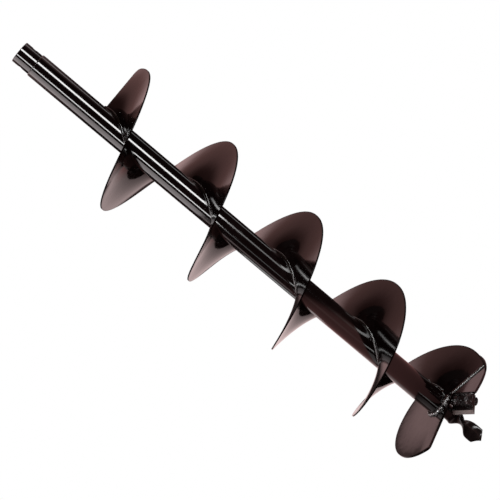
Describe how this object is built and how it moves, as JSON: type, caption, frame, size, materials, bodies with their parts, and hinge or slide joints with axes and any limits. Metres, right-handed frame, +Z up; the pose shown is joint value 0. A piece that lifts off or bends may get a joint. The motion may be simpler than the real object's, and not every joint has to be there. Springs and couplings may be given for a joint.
{
  "type": "earth auger bit",
  "caption": "Powered earth auger bit: a tube with a drive socket, right-hand helical flighting, a base plate with a bolted cutting blade, and a twisted pilot point.",
  "frame": {"origin": "centre of the drive socket's mouth, on the auger's axis", "axes": "+Z up along the axis towards the drive, +X where the flighting starts, and the soil mouth of the base plate towards -Y"},
  "size_m": [0.3048, 0.3048, 1.4059],
  "materials": {
    "tube_paint": "gloss",
    "flight_paint": "gloss",
    "weld_paint": "satin",
    "blade_steel": "satin",
    "bolt_steel": "satin",
    "inner_steel": "machined"
  },
  "bodies": {
    "root": {"centre_tube": "tube_paint", "drive_socket": "tube_paint", "socket_weld": "weld_paint", "flight_1": "flight_paint", "root_weld_1": "weld_paint", "flight_2": "flight_paint", "root_weld_2": "weld_paint", "flight_3": "flight_paint", "root_weld_3": "weld_paint", "flight_4": "flight_paint", "root_weld_4": "weld_paint", "flight_5": "flight_paint", "root_weld_5": "weld_paint", "seam_weld_1": "weld_paint", "seam_weld_2": "weld_paint", "seam_weld_3": "weld_paint", "seam_weld_4": "weld_paint", "base_plate": "flight_paint", "plate_upper_weld": "weld_paint", "plate_lower_weld": "weld_paint", "flight_end_weld": "weld_paint", "mouth_weld": "weld_paint", "foot_weld": "weld_paint", "blade_holder": "blade_steel", "holder_weld": "weld_paint", "cutting_blade": "blade_steel", "blade_bolts": "bolt_steel", "blade_washers": "bolt_steel", "blade_nuts": "bolt_steel", "pilot_hub": "inner_steel", "pilot_point": "blade_steel", "pilot_pin": "bolt_steel"}
  },
  "joints": []
}
